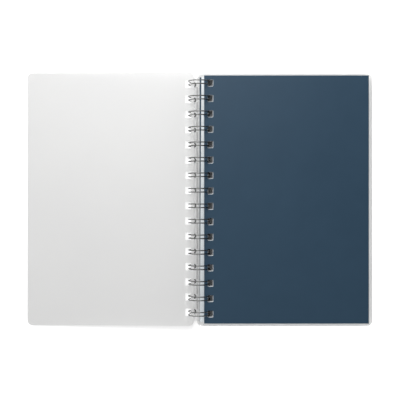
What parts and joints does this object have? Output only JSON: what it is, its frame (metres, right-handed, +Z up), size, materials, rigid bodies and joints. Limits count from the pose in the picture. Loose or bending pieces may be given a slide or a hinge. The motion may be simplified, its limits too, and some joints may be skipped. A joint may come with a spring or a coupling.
{
  "type": "spiral notebook",
  "caption": "Wire-bound notebook lying open: frosted film covers, dark card sheets and a block of white pages turn on double wire loops.",
  "frame": {"origin": "middle of the open notebook's footprint, on the table", "axes": "+X across the open notebook towards the pages, +Y along the binding towards the head, +Z up"},
  "size_m": [0.2898, 0.2126, 0.0184],
  "materials": {
    "frosted_film": "frosted translucent polypropylene film",
    "white_paper": "uncoated white writing paper",
    "dark_card": "smooth card dyed dark slate blue, faint sheen",
    "nickelled_wire": "bright nickel-plated steel wire"
  },
  "bodies": {
    "binding": {"wire_binding": "nickelled_wire", "back_cover": "frosted_film", "backing_sheet": "dark_card"},
    "front": {"front_cover": "frosted_film"},
    "pages": {"page_block": "white_paper"},
    "divider": {"divider_sheet": "dark_card"}
  },
  "joints": [
    {"name": "front_cover_turn", "type": "hinge", "parent": "binding", "child": "front", "pos_m": [-0.00069, 0, 0.0092], "axis": [0, 1, 0], "range_deg": [0, 181.96]},
    {"name": "page_turn", "type": "hinge", "parent": "binding", "child": "pages", "pos_m": [-0.00069, 0, 0.0092], "axis": [0, -1, 0], "range_deg": [0, 181.96]},
    {"name": "divider_turn", "type": "hinge", "parent": "pages", "child": "divider", "pos_m": [-0.00069, 0, 0.0092], "axis": [0, -1, 0], "range_deg": [0, 178.03]}
  ]
}
